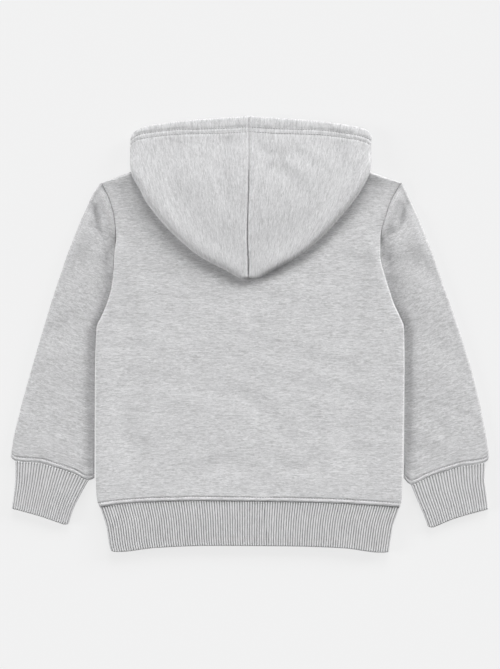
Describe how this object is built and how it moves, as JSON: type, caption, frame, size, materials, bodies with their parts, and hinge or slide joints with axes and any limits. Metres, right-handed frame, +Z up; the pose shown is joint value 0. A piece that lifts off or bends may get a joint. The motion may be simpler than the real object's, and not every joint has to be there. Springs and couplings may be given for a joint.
{
  "type": "toddler hoodie",
  "caption": "Child's hooded sweatshirt laid flat, back up, hood spread over the back, with rib cuffs and a rib hem band.",
  "frame": {"origin": "on the surface that the hoodie lies on, under the middle of its box", "axes": "+X towards the wearer's right sleeve, +Y from the hem band to the hood, +Z up from the surface, out of the back"},
  "size_m": [0.55, 0.5011, 0.021],
  "materials": {
    "fleece": "pale grey marl fleece-backed jersey, matt",
    "rib": "pale grey marl rib knit, matt"
  },
  "bodies": {
    "root": {"back": "fleece", "front": "fleece", "sleeve_left": "fleece", "sleeve_right": "fleece", "hood_left": "fleece", "hood_right": "fleece", "cuff_left": "rib", "cuff_right": "rib", "hem_band": "rib"}
  },
  "joints": []
}
